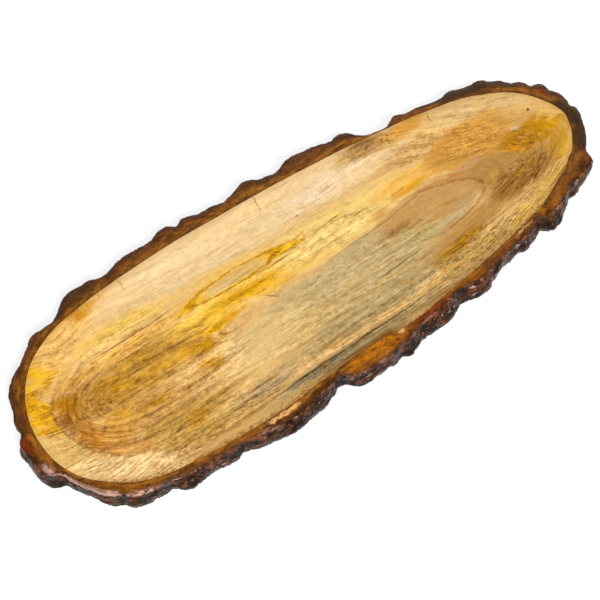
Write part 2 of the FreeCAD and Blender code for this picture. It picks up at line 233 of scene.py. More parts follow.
def eased_through(at, rows):
    """Values eased from one listed place round the slab to the next, 3t² - 2t³ of the way t."""
    rows = np.array([(rows[-1][0] - 1000, rows[-1][1]), *rows, (rows[0][0] + 1000, rows[0][1])])
    cell = np.searchsorted(rows[:, 0], at, "right") - 1
    t = ease(0, 1, (at - rows[cell, 0]) / (rows[cell + 1, 0] - rows[cell, 0]))
    return rows[cell, 1] * (1 - t) + rows[cell + 1, 1] * t


def egg_arcs():
    """The dish's upper edge as five arcs, one after another from the narrow tip: centre, radius,
    the angle where it starts, and length. Each side touches both ends and the full width, and
    that gives a quadratic equation for how far its centre is from the broad end's, along x."""
    broad, narrow = WIDTH / 2 - BROAD_TAPER, WIDTH / 2 - NARROW_TAPER
    broad_x, narrow_x = broad - LENGTH / 2, LENGTH / 2 - narrow
    apart, more = narrow_x - broad_x, NARROW_TAPER / BROAD_TAPER - 1
    rest = apart ** 2 - NARROW_TAPER * (NARROW_TAPER - BROAD_TAPER)
    along = (math.sqrt(apart ** 2 + more * rest) - apart) / more
    radius = (along ** 2 / BROAD_TAPER + broad + WIDTH / 2) / 2
    side_x, side_y = broad_x + along, WIDTH / 2 - radius
    lean_narrow, lean_broad = (math.atan2(-side_y, x - side_x) for x in (narrow_x, broad_x))
    full, side = 2 * math.pi, radius * (lean_broad - lean_narrow)
    return np.array([
        (narrow_x, 0, narrow, 0, narrow * lean_narrow),
        (side_x, side_y, radius, lean_narrow, side),
        (broad_x, 0, broad, lean_broad, broad * (full - 2 * lean_broad)),
        (side_x, -side_y, radius, full - lean_broad, side),
        (narrow_x, 0, narrow, full - lean_narrow, narrow * lean_narrow),
    ])


def dish_edge(way):
    """Points and outward directions on the egg. A share of the way round gives a distance, the
    distance picks the arc, and the rest of it over the arc's radius is the turn from its start."""
    arcs = egg_arcs()
    starts = np.concatenate([[0], np.cumsum(arcs[:, 4])])
    distance = np.mod(way, 1.0) * starts[-1]
    which = np.clip(np.searchsorted(starts, distance, "right") - 1, 0, 4)
    angle = arcs[which, 3] + (distance - starts[which]) / arcs[which, 2]
    outwards = np.stack([np.cos(angle), np.sin(angle)], -1)
    return arcs[which, :2] + arcs[which, 2:3] * outwards, outwards


def true_place(x, y):
    """Where on the dish a mark lies that the photograph shows at a place of the rim's plane: the
    line of sight through that place goes on down to the dish, which is as deep there as the
    usual wall's straight slope says. Each round starts from the last one's place."""
    edge, outwards = dish_edge(WAY)
    eye, shown = np.array(EYE), np.array([x, y])
    place = shown
    for _ in range(8):
        inset = ((edge - place) * outwards).sum(-1).min()
        deep = (TOP - FLOOR) * np.clip(inset / WALL_RUN, 0, 1)
        place = eye[:2] + (shown - eye[:2]) * (eye[2] - TOP + deep) / (eye[2] - TOP)
    return place.round(1).tolist()


def on_dish(rows):
    """A table's rows with their middles moved from the rim's plane to their true places."""
    moved = []
    for row in rows:
        first = 1 if isinstance(row[0], str) else 0
        moved.append((*row[:first], *true_place(*row[first:first + 2]), *row[first + 2:]))
    return moved


def lattice_noise(along, down, seed, wrap):
    """Value noise from 0 to 1: each whole-number grid point has a seeded random value, and a
    place between four of them gets their mix, eased both ways. It closes after wrap cells."""
    rows = 97
    values = np.random.default_rng(seed).random((wrap, rows))
    i, j = np.floor(along).astype(int), np.floor(down).astype(int)
    u, v = ease(0, 1, along - i), ease(0, 1, down - j)
    left, right, low, high = i % wrap, (i + 1) % wrap, j % rows, (j + 1) % rows
    near = values[left, low] * (1 - u) + values[right, low] * u
    far = values[left, high] * (1 - u) + values[right, high] * u
    return near * (1 - v) + far * v


def rough(way, down, length, height, seed, layers=4):
    """Sum of value noises round the slab, each with cells half the size of the last and just
    over half as strong, scaled back to 0..1."""
    total, weight, sum_of = 0.0, 1.0, 0.0
    for layer in range(layers):
        cells = max(4, round(ROUND / length * 2 ** layer))
        noise = lattice_noise(way * cells, down / height * 2 ** layer, seed + layer, cells)
        total, sum_of, weight = total + weight * noise, sum_of + weight, weight * 0.55
    return total / sum_of


def plates(way, down, length, height, seed):
    """Bark plates: each cell of a grid has one seeded point. A place belongs to its nearest
    point, and the crack is where the nearest two are almost equally far. Gives how far a
    place is from the crack, in cells, and a random number for its plate."""
    cells, rows = max(4, round(ROUND / length)), 61
    chance = np.random.default_rng(seed).random((cells, rows, 3))
    along, deep = way * cells, down / height
    i, j = np.floor(along).astype(int), np.floor(deep).astype(int)
    first, second = np.full(along.shape, 9.0), np.full(along.shape, 9.0)
    owner = np.zeros(along.shape)
    for a in (-1, 0, 1):
        for b in (-1, 0, 1):
            spot = chance[(i + a) % cells, (j + b) % rows]
            far = np.hypot(i + a + spot[..., 0] - along, j + b + spot[..., 1] - deep)
            nearer = far < first
            second = np.where(nearer, first, np.minimum(second, far))
            owner = np.where(nearer, spot[..., 2], owner)
            first = np.where(nearer, far, first)
    return second - first, owner


def bark_relief(way, down, calm):
    """How far the bark stands out from its mean surface in mm, and how deep in a crack a place
    is, from 0 to 1. Places first wander by a few mm, which bends the cracks. Plates of three
    sizes are domes: from its crack a dome rises with the square of what is left to go, and each
    has its own height besides. Fine roughness lies over them."""
    bend = rough(way, down, 26, 14, seed=11, layers=3) - 0.5
    way = way + bend * 7 / ROUND
    down = down + (rough(way, down, 16, 9, seed=23, layers=3) - 0.5) * 6
    out, cracks = 0.5 * (rough(way, down, 3.4, 3.0, seed=53, layers=3) - 0.5), 0.0
    for length, height, seed, own, dome, width, dark in PLATE_SIZES:
        gap, chance = plates(way, down, length, height, seed)
        sunk = (1 - np.clip(gap / width, 0, 1)) ** 2
        out = out + own * (chance - 0.45) - dome * sunk
        cracks = cracks + dark * sunk
    return (out + 0.35) * calm, np.clip(cracks, 0, 1) * calm


def wall_rings(wood):
    """The carver's wall, from the level floor up to the wood's edge: a straight slope, rounded
    into the floor by a hyperbola as wide as the bend, and at the top a small lip. Gives each
    place's reach, height and share of the way, and besides how near it is to the wall's foot and
    how far on the floor's side of it, where the foot is a clear line."""
    foot, bend = (table(MILLE, WALL_FOOT, column, calm=True) for column in (1, 2))
    part = np.array(WALL_PARTS)[:, None]
    run = foot + wood
    full = run * (1.12 + 0.5 * bend)
    down = full * part

    def sunk(slope):
        return 0.5 * (slope + 1 - np.sqrt((slope - 1) ** 2 + bend ** 2))

    sink = (sunk(down / run) - sunk(0.0)) / (sunk(full / run) - sunk(0.0))
    lip = 0.45 * np.clip(1 - part / 0.07, 0, 1) ** 2
    rim = TOP - 0.1
    height = rim - lip - (rim - FLOOR) * sink
    clear = ease(0.26, 0.06, bend)
    crease = np.exp(-((run - down) / 0.9) ** 2) * clear
    return wood - down, height, -part, crease, ease(-1.0, 0.6, down - run) * clear


def cut_top_rings(wood):
    """The bark's cut top, from the wood out to the brow. It is almost level, then falls away with
    a power of the way, more in some places than in others, and dips where it meets the wood."""
    top = table(MILLE, BARK_LINE, 2) * REACH
    broken = rough(WAY, WAY * 0, 14, 9, seed=71, layers=3)
    part = np.array(TOP_PARTS)[:, None]
    fall = 0.10 + 1.5 * np.clip((part - 0.5) / 0.5, 0, 1) ** 1.6 * (0.6 + broken)
    dip = 0.28 * np.clip(1 - part / 0.07, 0, 1)
    return wood + (top - wood) * part, TOP - fall - dip, part


def side_rings():
    """The slab's side, from the brow down to the underside's edge. At each listed height the
    outline is a smooth curve through the bark's reach with its plates, and smooth curves join
    the heights."""
    drop = np.concatenate([np.linspace(24.2, 1.6, 31), [0.7, 0.0]])
    stations = np.array([row[0] for row in BARK_LINE], float)
    lines = []
    for level, side, cut, tuck, wander in sorted(SIDE_LEVELS):
        at = np.mod(MILLE - wander, 1000)
        proud = PLATE_RELIEF * eased_through(stations, PLATES.get(level, [(0, 0)]))
        line = table(at, BARK_LINE, 1) * REACH * side + table(at, BARK_LINE, 2) * REACH * cut
        lines.append(line + smooth_through(at, stations, proud, 1000.0) - tuck)
    heights = np.array(sorted(row[0] for row in SIDE_LEVELS))
    shape = smooth_through(drop, heights, np.eye(len(heights)))
    return shape @ np.stack(lines), drop[:, None], 1 + (BROW - drop[:, None]) / BROW


def drawn_in(ring, parts):
    """Copies of a level ring that lie at these shares of the way out from the middle."""
    flat = MIDDLE + (ring[:, :2] - MIDDLE) * np.array(parts)[:, None, None]
    return np.concatenate([flat, np.broadcast_to(ring[:, 2:], flat.shape[:2] + (1,))], -1)


def slab_rings():
    """The platter's mean surface as one grid. Its rings run from the middle of the dish's floor
    out over the wall, the cut bark and the slab's side, and back to the middle of the underside.
    Each is the egg moved outwards by a reach that varies round the slab, at a height that varies
    too; two rings lie just inside the underside's edge. Gives the points, each ring's kind, each
    point's share of the way, which is -1 on the floor, 0 at the wood's edge, 1 at the brow and
    past 2 on the underside, and the wall's foot."""
    edge, outwards = dish_edge(WAY)
    wood = table(MILLE, WOOD_LINE, 1, calm=True)
    *wall, crease, foot_side = wall_rings(wood)
    side = side_rings()
    below = side[0][-1] - np.array([[3.0], [6.0]]), 0.0, 2.2
    bands = [np.broadcast_arrays(*band) for band in (wall, cut_top_rings(wood), side, below)]
    reach, height, share = (np.concatenate(part) for part in zip(*bands))
    kind = np.repeat([WOOD, CUT_BARK, SIDE, UNDERSIDE], [len(band[0]) for band in bands])
    grid = np.concatenate([edge + outwards * reach[..., None], height[..., None]], -1)

    # floor and underside rings towards the middle
    grid = np.concatenate([drawn_in(grid[0], FLOOR_PARTS), grid, drawn_in(grid[-1], UNDER_PARTS)])
    inner, under = len(FLOOR_PARTS), len(UNDER_PARTS)
    kind = np.pad(kind, (inner, under), constant_values=(WOOD, UNDERSIDE))
    share = np.pad(share, ((inner, under), (0, 0)), constant_values=((-1.0, 2.3), (0, 0)))
    beyond = (inner, len(kind) - inner - len(crease))
    crease, foot_side = (np.pad(part, (beyond, (0, 0))) for part in (crease, foot_side))
    foot_side[:inner] = np.array([0.0, 0.0, 0.1, 0.45])[:, None] * foot_side[inner]
    return grid, kind, share, crease, foot_side


def weathered(grid, kind, share):
    """The surface with its bark. Relief moves the side's rings, and the cut top's outer ones a
    little, along the surface's own outward direction, which is the cross product of its two grid
    directions. Pits are bell-shaped dents. The cut top is chipped where a noise is above its
    middle. Gives the points, how deep in a crack each is, and its place as the bark's layers see
    it, in mm: round a ring as long as the slab's bark, and how far out from the wood."""
    along = np.roll(grid, -1, 1) - np.roll(grid, 1, 1)
    facing = np.cross(np.gradient(grid, axis=0), along)
    facing /= np.maximum(np.linalg.norm(facing, axis=-1, keepdims=True), 1e-9)

    # distance down the bark from the brow, for plates of a true size
    steps = np.linalg.norm(np.diff(grid, axis=0), axis=-1)
    length = np.concatenate([np.zeros((1, AROUND)), np.cumsum(steps, 0)])
    down = length - length[np.argmax(kind == SIDE)]
    ways = np.broadcast_to(WAY, down.shape)

    # the relief begins 6 mm inside the brow, is full 7 mm below it, and dies out at the underside
    calm = ease(-6.0, 7.0, down) * ease(0.0, 2.5, grid[..., 2])
    calm = calm * np.array([0.0, 0.55, 1.0, 0.0])[kind][:, None]
    relief, crack = bark_relief(ways, down + 20, calm)
    for where, level, half, tall, depth in PITS:
        off = (np.mod(MILLE - where + 500, 1000) - 500) * ROUND / 1000 / half
        dent = np.exp(-(off ** 2) - ((grid[..., 2] - level) / tall) ** 2) * (kind == SIDE)[:, None]
        relief = relief - depth * dent
        # pits count as cracks too, so the bark's materials darken them with painted shade
        crack = np.clip(crack + 0.5 * dent, 0, 1)
    grid = grid + facing * relief[..., None]

    chips = 0.9 * np.clip(rough(ways, down + 40, 5, 3, seed=83) - 0.5, 0, 1)
    grid[..., 2] -= np.where((kind == CUT_BARK)[:, None], chips * np.clip(share * 1.4, 0, 1), 0)
    grid = np.clip(grid, *(np.array(corner) * 1000 for corner in cad_box))

    turn, radius = 2 * math.pi * ways, ROUND / (2 * math.pi)
    out = length - length[np.argmax(kind == CUT_BARK)]
    return grid, crack, np.stack([radius * np.cos(turn), radius * np.sin(turn), out], -1)


def grid_mesh(name, grid, kind):
    """A closed mesh from rings of points: neighbouring rings are joined by four-sided faces, the
    columns close round, and the first and last rings are closed by fans to one middle point each.
    A face takes its material from the ring that it starts at."""
    rings, columns = grid.shape[:2]
    index = np.arange(rings * columns).reshape(rings, columns)
    after = np.roll(index, -1, 1)
    quads = np.stack([index[:-1], index[1:], after[1:], after[:-1]], -1).reshape(-1, 4)
    start = np.full(columns, rings * columns)
    first = np.stack([start, index[0], after[0]], -1)
    last = np.stack([index[-1], start + 1, after[-1]], -1)
    poles = np.stack([grid[0].mean(0), grid[-1].mean(0)])
    points = np.concatenate([grid.reshape(-1, 3), poles]) / 1000
    mesh = bpy.data.meshes.new(name)
    mesh.from_pydata(points.tolist(), [], quads.tolist() + first.tolist() + last.tolist())
    slots = np.repeat(np.append(kind[1:], (kind[0], kind[-1])), columns)
    mesh.polygons.foreach_set("material_index", slots.astype(np.int32))
    mesh.polygons.foreach_set("use_smooth", np.ones(len(slots), bool))
    mesh.update()
    return mesh


def keep(mesh, name, values, ends):
    """Keeps a number or a place for each point of the mesh, and then the two middle points' own."""
    kind, field_name = ("FLOAT", "value") if values.ndim == 2 else ("FLOAT_VECTOR", "vector")
    made = mesh.attributes.new(name, kind, "POINT")
    made.data.foreach_set(field_name, np.append(values, ends).astype(np.float32))


# Colours of the wood and the bark, by plain names.
PALETTE = {
    "cream": "#E7C791", "pale straw": "#F6CC76", "pale gold": "#ECC159", "pale yellow": "#F0CA78",
    "pale tan": "#D6B377", "pale honey": "#E2B464", "bright yellow": "#F0C24F", "gold": "#EBB00E",
    "bright gold": "#E8AB28", "deep gold": "#BA8200", "olive gold": "#A87700", "pale peach": "#ECC272",
    "warm yellow": "#EEB654", "ochre": "#BB8A2E", "ochre tan": "#CE993F", "pink tan": "#C19354",
    "orange brown": "#BC7E14", "olive ochre": "#BC8408", "tan": "#B78E3F", "honey tan": "#E0AE66",
    "warm grey": "#C4A974", "straw": "#D6B778", "olive grey": "#B49A65", "grey": "#B09468",
    "green grey": "#B59D61", "dull olive": "#9D8656", "olive green": "#8F876C", "flat tan": "#B38444",
    "brown": "#9B6E2E", "golden brown": "#BC8C3C", "orange": "#DA9424", "orange tan": "#CF9640",
    "gold brown": "#9E7238", "honey gold": "#F6C668", "lavender": "#BA8D62", "pale pink": "#DDB68C",
    "pale cream": "#EACBA4", "peach with painted light": "#FFD692", "honey olive": "#C48E10",
    "yellow olive": "#BD8300", "rust": "#BC6F20", "lens tan": "#D8AE66", "lens pale": "#E2CE9C",
    "umber": "#80581E", "olive dark": "#8A7030", "bark rust": "#6E3F16", "bark red": "#74300A",
    "bark amber": "#8A5314", "bark orange": "#A2600A", "bark dark": "#3A2510",
    # the rose colour of the bark is used only for painted highlights
    "bark purple": "#5C3A2C", "painted highlight rose": "#CFA896", "bark pale": "#D9A765", "slate": "#5C4C2A",
    "tan dark": "#8E6C36", "orange tick": "#C07A1E", "knot": "#4E3418",
}

# The dish's fields, lines, rings and zones have their middles where they were read off the
# photograph laid flat on the rim's plane, and on_dish moves them down onto the dish. Those
# of the bark, which is near that plane, are used where they were read.

# Colour fields of the dish: colour, middle in mm, half length and half width, tilt in degrees,
# strength, and how much of the way in the edge fades. Later ones lie over earlier ones.
WOOD_FIELDS = [
    ("cream", -20, 66, 200, 33, 0, 1, 0.55),
    ("cream", 55, 50, 90, 17, 0, 0.8, 0.7),
    ("pale cream", 42, 55, 60, 12, 0, 0.8, 0.8),
    ("pale honey", -200, 58, 66, 22, 24, 0.9, 0.6),
    ("pale tan", 200, 46, 66, 28, -16, 0.95, 0.6),
    ("pale gold", -148, 42, 60, 10, 0, 0.9, 0.7),
    ("pale straw", -155, 39, 46, 6, 0, 0.9, 0.8),
    ("pale yellow", 10, 19, 150, 22, 0, 1, 0.5),
    ("warm yellow", -155, 26, 66, 10, 0, 0.95, 0.7),
    ("bright yellow", -100, 12, 36, 14, 0, 0.8, 0.8),
    ("ochre", -155, 3, 72, 23, 0, 1, 0.55),
    ("ochre", -195, 8, 34, 22, 0, 0.8, 0.7),
    ("ochre tan", -178, -24, 54, 18, -4, 0.85, 0.7),
    ("pink tan", -165, -32, 44, 11, 0, 0.6, 0.9),
    ("tan", -150, -45, 68, 16, 0, 0.9, 0.7),
    ("tan", -150, -62, 84, 14, -2, 0.8, 0.7),
    ("honey tan", -165, -70, 84, 10, -4, 0.8, 0.8),
    ("ochre", -223, 0, 10, 18, 0, 0.8, 0.8),
    ("orange brown", -213, -14, 11, 28, 14, 0.9, 0.8),
    ("orange brown", -202, -36, 18, 9, -50, 0.6, 0.9),
    ("pale honey", -206, 33, 18, 12, 30, 0.8, 0.7),
    ("olive ochre", -216, 12, 15, 12, 0, 1, 0.8),
    ("yellow olive", -146, -48, 18, 8, 0, 0.75, 0.9),
    ("yellow olive", -150, -55, 16, 6, 0, 0.5, 0.9),
    ("yellow olive", -116, -21, 15, 8, 0, 0.95, 0.8),
    ("yellow olive", -160, -23, 18, 5, 0, 0.85, 0.9),
    ("gold", -184, -15, 12, 7, 0, 0.6, 0.9),
    ("yellow olive", -178, 4, 9, 5, 0, 0.8, 0.9),
    ("yellow olive", -137, -27, 10, 5, 0, 0.6, 0.9),
    ("deep gold", -111, -5, 19, 8, 0, 1, 0.7),
    ("rust", -186, -48, 10, 5, -20, 0.4, 0.9),
    ("orange", -172, 71, 16, 7, 6, 0.95, 0.9),
    ("orange", -188, 66, 9, 6, 20, 0.5, 0.9),
    ("orange", -152, 74, 16, 5, 2, 0.6, 0.9),
    ("rust", -173, 75, 14, 4, 8, 0.8, 0.9),
    ("deep gold", -166, 73, 26, 6, 4, 0.55, 0.9),
    ("bright yellow", -70, 15, 78, 12, 0, 1, 0.8),
    ("gold", -62, 12, 58, 8, 0, 1, 0.8),
    ("gold", -48, 9, 24, 9, -6, 0.6, 0.9),
    ("gold", -92, 3, 38, 6, 0, 1, 0.8),
    ("bright gold", -42, 6, 30, 5, -6, 0.8, 0.8),
    ("deep gold", -86, 3, 24, 4, 0, 0.8, 0.9),
    ("orange", -78, 2, 13, 3, 0, 0.8, 0.8),
    ("bright yellow", -62, 38, 54, 7, 0, 0.7, 0.9),
    ("bright yellow", -8, 5, 34, 6, 0, 0.5, 0.9),
    ("warm grey", 45, -19, 100, 21, 0, 1, 0.14),
    ("warm grey", -25, -13, 46, 13, 0, 0.8, 0.4),
    ("straw", -68, -24, 56, 16, 0, 0.9, 0.6),
    ("straw", 0, -28, 84, 6, 0, 0.6, 0.8),
    ("straw", -45, -38, 94, 11, 0, 0.8, 0.7),
    ("olive grey", 35, -42, 94, 14, 0, 0.8, 0.7),
    ("olive grey", 10, -53, 114, 13, 0, 1, 0.6),
    ("grey", -90, -59, 38, 10, 0, 0.95, 0.8),
    ("pink tan", -36, -60, 16, 5, 0, 0.7, 0.9),
    ("dull olive", -10, -73, 124, 11, 0, 0.9, 0.7),
    ("olive green", -58, -72, 54, 7, 0, 0.7, 0.8),
    ("golden brown", 180, -4, 58, 40, 4, 0.9, 0.5),
    ("orange tan", 60, 7, 14, 6, 0, 0.8, 0.9),
    ("warm yellow", 100, 21, 58, 11, 0, 0.95, 0.7),
    ("orange", 86, 13, 15, 4, 0, 0.9, 0.8),
    ("gold", 97, 13, 22, 5, 0, 0.8, 0.7),
    ("orange", 110, 13.5, 40, 4, 0, 0.7, 0.8),
    ("yellow olive", 148, 12, 10, 3.4, 0, 0.9, 0.8),
    ("pink tan", 122, 37, 50, 10, 0, 0.5, 0.7),
    ("orange tan", 162, 16, 48, 24, -6, 1, 0.3),
    ("pink tan", 100, -9, 64, 21, 0, 1, 0.4),
    ("green grey", 78, -25, 34, 15, -4, 0.8, 0.8),
    ("flat tan", 112, -42, 74, 14, 6, 0.9, 0.7),
    ("flat tan", 160, -8, 30, 14, 0, 1, 0.6),
    ("warm yellow", 150, 18, 16, 5, 0, 0.6, 0.8),
    ("ochre tan", 190, 30, 24, 9, -20, 0.7, 0.8),
    ("lavender", 147, 3, 22, 5.5, -4, 0.7, 0.8),
    ("pale pink", 206, 8, 8, 4, -20, 0.8, 0.8),
    ("brown", 172, -30, 46, 16, 6, 1, 0.55),
    ("orange brown", 196, -4, 26, 15, 0, 1, 0.45),
    ("deep gold", 214, -5, 17, 14, -30, 1, 0.4),
    ("gold", 236, -3, 15, 11, 0, 0.5, 0.9),
    ("pale gold", 228, 7, 9, 5, 0, 0.6, 0.9),
    ("deep gold", 216, -26, 20, 11, 38, 0.7, 0.8),
    ("gold", 222, -31, 28, 7, 36, 0.7, 0.8),
    ("honey olive", 228, -18, 15, 11, 40, 0.8, 0.8),
    ("honey olive", 237, -6, 8, 7, 0, 0.7, 0.8),
    ("honey gold", 178, -54, 64, 10, 16, 1, 0.5),
    ("honey gold", 184, -50, 44, 8, 17, 1, 0.6),
    ("tan", 90, -62, 64, 11, 3, 0.7, 0.8),
    ("olive gold", 90, -50.5, 38, 6.5, 3, 0.9, 0.8),
    ("olive gold", 106, -47, 24, 5, 6, 0.95, 0.8),
    ("rust", 126, 2, 22, 4, -16, 0.35, 0.9),
    ("olive gold", 76, -52, 20, 4, 2, 0.5, 0.9),
    ("gold brown", 93, 64, 28, 10, -4, 0.95, 0.7),
    ("olive gold", 110, 58, 10, 11, 0, 0.6, 0.9),
    ("orange tan", 130, 61, 34, 9, -6, 1, 0.7),
    ("pale tan", 146, 55, 10, 6, 0, 0.6, 0.9),
    ("tan", 70, 66, 20, 10, 0, 0.6, 0.9),
]

# Colour fields of the broad end's wall, which stop at its foot, listed in the same way.
WALL_FIELDS = [
    ("pale peach", -234, -20, 19, 40, -6, 1, 0.25),
    # the brighter peach field is painted light on the near part of the wall, which the key lamp leaves
    # in shade
    ("peach with painted light", -205, -58, 58, 19, -36, 1, 0.4),
    ("pale honey", -205, 58, 42, 18, 35, 0.9, 0.5),
    ("gold", -234, 24, 15, 33, 14, 1, 0.4),
    ("bright gold", -232, 14, 10, 20, 6, 0.9, 0.8),
    ("deep gold", -230, 20, 9, 20, 10, 0.55, 0.9),
    ("gold", -219, 44, 18, 11, 55, 0.9, 0.8),
    ("deep gold", -217, 36, 14, 5, 55, 0.8, 0.9),
]

# Single lines and small marks of the grain, listed in the same way.
WOOD_LINES = [
    ("lens tan", -62, 28.2, 37, 5.4, 0, 0.95, 0.3),
    ("lens pale", -72, 27.2, 20, 1.4, 0, 0.7, 0.7),
    ("deep gold", -62, 29.2, 24, 0.5, 0, 0.5, 0.5),
    ("gold", -16, 27, 26, 5, -6, 1, 0.7),
    ("gold", -20, 25, 16, 3.2, 0, 0.9, 0.8),
    ("gold", -100, 27, 20, 4.5, 6, 0.9, 0.7),
    ("deep gold", -100, 28.5, 14, 1.1, 14, 0.9, 0.6),
    ("deep gold", -26, 31.2, 18, 1.3, -12, 0.9, 0.6),
    ("deep gold", -2, 28.5, 12, 1.2, 12, 0.8, 0.6),
    ("deep gold", -36, 20.8, 34, 1.3, -2, 0.9, 0.6),
    ("deep gold", -52, 13, 28, 1.1, 0, 0.7, 0.6),
    ("deep gold", -64, 22.4, 30, 1.1, 0, 0.7, 0.6),
    ("umber", -48, -1, 9, 1.4, -45, 0.6, 0.7),
    ("deep gold", 31, 25, 9, 0.9, 0, 0.9, 0.6),
    ("umber", -150, 32.3, 42, 0.8, 0, 0.8, 0.5),
    ("umber", -229, 0.5, 12, 0.6, 0, 0.8, 0.5),
    ("umber", -231, -1.6, 10, 0.6, 0, 0.8, 0.5),
    ("olive dark", -222, -38, 17, 0.7, -2, 0.8, 0.5),
    ("olive dark", -218, -42, 14, 0.6, -4, 0.6, 0.5),
    ("olive dark", -204, -47, 17, 0.6, -6, 0.6, 0.5),
    ("umber", -160, 19, 28, 0.6, 0, 0.7, 0.5),
    ("umber", -150, 8, 52, 0.7, -2, 0.7, 0.5),
    ("umber", -160, -5, 40, 0.6, -2, 0.7, 0.5),
    ("umber", -150, -8.5, 46, 0.6, 0, 0.7, 0.5),
    ("umber", -150, -12, 40, 0.5, 0, 0.5, 0.5),
    ("umber", -160, -57, 30, 0.6, 0, 0.6, 0.5),
    ("umber", -130, -61, 60, 0.6, 0, 0.6, 0.5),
    ("umber", -110, -70, 70, 0.6, 0, 0.6, 0.5),
    ("umber", -130, -45, 40, 0.6, 0, 0.5, 0.5),
    ("slate", -22, -69.5, 96, 1, 0.4, 0.9, 0.4),
    ("slate", -60, -69.3, 34, 1.1, 0, 0.7, 0.5),
    ("slate", 45, -37, 32, 0.8, 2, 0.7, 0.5),
    ("tan dark", 40, -1, 48, 0.6, 1, 0.6, 0.5),
    ("tan dark", 160, -46, 44, 0.7, 6, 0.8, 0.5),
    ("tan dark", 130, -49, 34, 0.6, 4, 0.6, 0.5),
    ("umber", 80, 2, 30, 0.6, 8, 0.5, 0.5),
    ("rust", 134, 0, 15, 1.8, -30, 0.55, 0.8),
    ("umber", 172, -18, 30, 0.6, 8, 0.6, 0.5),
    ("umber", 205, -30, 22, 0.6, 22, 0.7, 0.5),
    ("orange tick", -9, 72, 8, 0.8, 80, 0.9, 0.5),
    ("orange tick", -132, 73.5, 7, 0.6, 90, 0.8, 0.5),
    ("orange tick", -172, 70, 5, 0.8, 85, 0.7, 0.6),
    ("orange tick", -161, 72, 6, 0.6, 90, 0.8, 0.6),
    ("orange tick", -178, 70, 5, 0.6, 84, 0.8, 0.6),
    ("orange tick", -150, 74, 6, 0.5, 90, 0.7, 0.6),
    ("umber", 153, 58, 4.5, 0.7, 78, 0.9, 0.5),
    ("umber", 111, 59, 6, 0.8, 85, 0.6, 0.5),
    ("knot", 9, 44, 1.8, 1, 0, 0.9, 0.5),
    ("knot", 222.5, 15, 1.4, 1.3, 0, 1, 0.4),
    ("umber", 237, -3.6, 5, 0.6, 0, 0.7, 0.5),
]

# Bent lines of the grain: colour, middle, half length and half width of the oval, tilt, the
# line's width as a share of the oval, strength, and which end is kept: 1 the narrow, -1 the broad.
WOOD_RINGS = [
    ("gold", -62, 28, 40, 6.4, 0, 0.45, 0.7, 0),
    ("deep gold", -62, 28, 40, 6.4, 0, 0.2, 1.3, 0),
    ("umber", 62, -13, 84, 22.5, -3, 0.045, 0.75, 1),
    ("rust", 62, -13, 84, 22.5, -3, 0.1, 0.2, 1),
    ("umber", -165, 3, 41, 12, 0, 0.07, 0.6, -1),
    ("umber", -165, 3, 35, 8.5, 0, 0.07, 0.6, -1),
    ("umber", -165, 2, 28, 5.5, 0, 0.09, 0.5, -1),
    ("umber", -165, 4, 50, 17, 0, 0.05, 0.5, -1),
    ("umber", 150, -8, 60, 26, -4, 0.04, 0.4, 1),
    ("umber", 150, -8, 52, 21, -4, 0.045, 0.35, 1),
]

# How strongly the grain shows: middle, half length and half width, tilt, strength, fade.
GRAIN_ZONES = [
    (-160, -10, 100, 66, 0, 0.9, 0.4), (-200, 55, 36, 22, 24, 0.72, 0.6),
    (-150, 42, 50, 12, 0, 0.5, 0.7), (-150, -60, 110, 20, 0, 1.1, 0.5),
    (10, -60, 130, 16, 0, 0.85, 0.5), (95, -60, 90, 15, 2, 1.3, 0.6),
    (175, -50, 66, 14, 16, 0.95, 0.6), (175, -30, 46, 22, 6, 1.15, 0.7),
    (125, 38, 56, 18, 0, 0.85, 0.8), (165, 20, 54, 28, -8, 0.95, 0.8), (-60, 15, 90, 18, 0, 0.6, 0.6),
    (20, 15, 70, 18, 0, 0.8, 0.6), (20, -25, 120, 30, 0, 0.62, 0.5), (0, -42, 130, 14, 0, 0.7, 0.7),
    (190, 45, 60, 30, -16, 0.5, 0.6), (0, -72, 130, 12, 0, 1.05, 0.5),
    (-232, 16, 18, 40, 10, 0.9, 0.5), (-225, -45, 40, 26, -40, 0.85, 0.5),
    (196, -4, 34, 22, 0, 0.85, 0.8), (95, 63, 50, 10, -4, 1.15, 0.8), (-12, 27, 26, 6, 0, 1.3, 0.6),
    (100, -50, 40, 8, 0, 1, 0.6), (30, 50, 60, 10, 0, 0.5, 0.6),
]

# Where a painted highlight lies pale along the bark's brow, listed in the same way.
BROW_HIGHLIGHT_ZONES = [
    (-237, -46, 34, 12, -52, 1.6, 0.4), (-208, -74, 24, 8, -26, 1.1, 0.6),
    (-165, -85, 30, 7, -6, 0.25, 0.6), (-115, -88, 16, 7, 0, 0.6, 0.6),
    (-20, -92, 30, 9, 0, 0.45, 0.6), (50, -84, 44, 8, 2, 0.5, 0.5), (105, -79, 20, 8, 6, 0.5, 0.6),
    (190, -68, 44, 9, 22, 0.55, 0.5), (-251, -22, 6, 10, 10, 0.45, 0.6),
]

